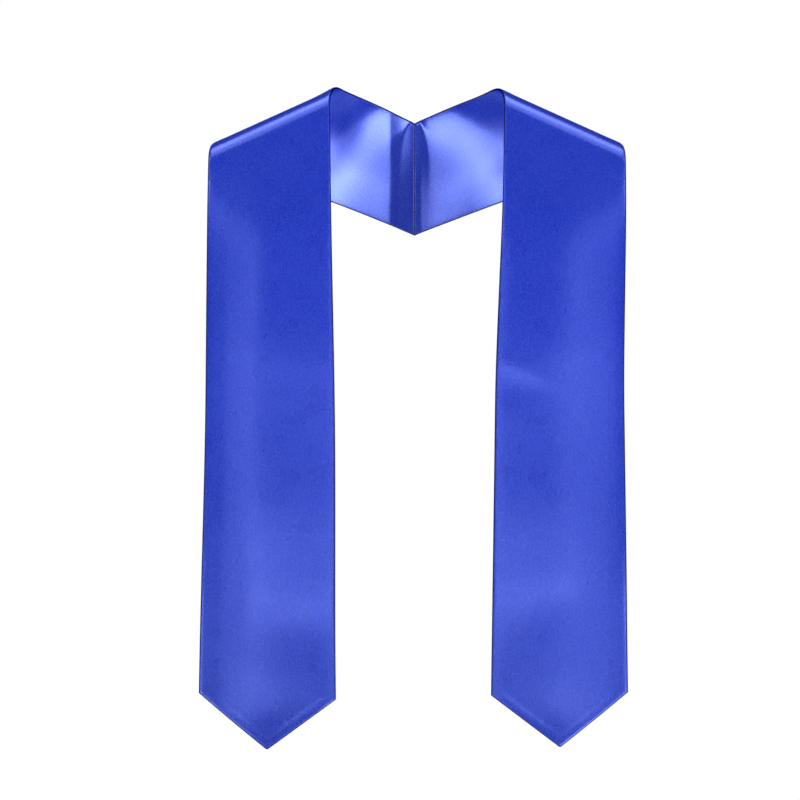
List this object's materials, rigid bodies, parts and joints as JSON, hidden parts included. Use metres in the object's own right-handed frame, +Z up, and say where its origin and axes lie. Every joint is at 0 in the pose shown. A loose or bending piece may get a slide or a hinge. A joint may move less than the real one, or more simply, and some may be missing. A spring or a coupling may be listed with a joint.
{
  "type": "graduation stole",
  "caption": "Royal blue satin stole in its worn shape: flat lined panels with pointed ends that hang from the shoulders and meet at a V behind the neck.",
  "frame": {"origin": "on the wearer's midline, level with the two peaks of the neck edge, near the shoulder line", "axes": "+Z up, +Y towards the wearer's back, +X to the right of someone who faces the wearer"},
  "size_m": [0.4472, 0.1867, 0.696],
  "materials": {
    "satin_face": "smooth satin, woven lengthwise",
    "satin_backing": "smooth satin, woven lengthwise"
  },
  "bodies": {
    "root": {"left_face": "satin_face", "left_backing": "satin_backing", "right_face": "satin_face", "right_backing": "satin_backing"}
  },
  "joints": []
}
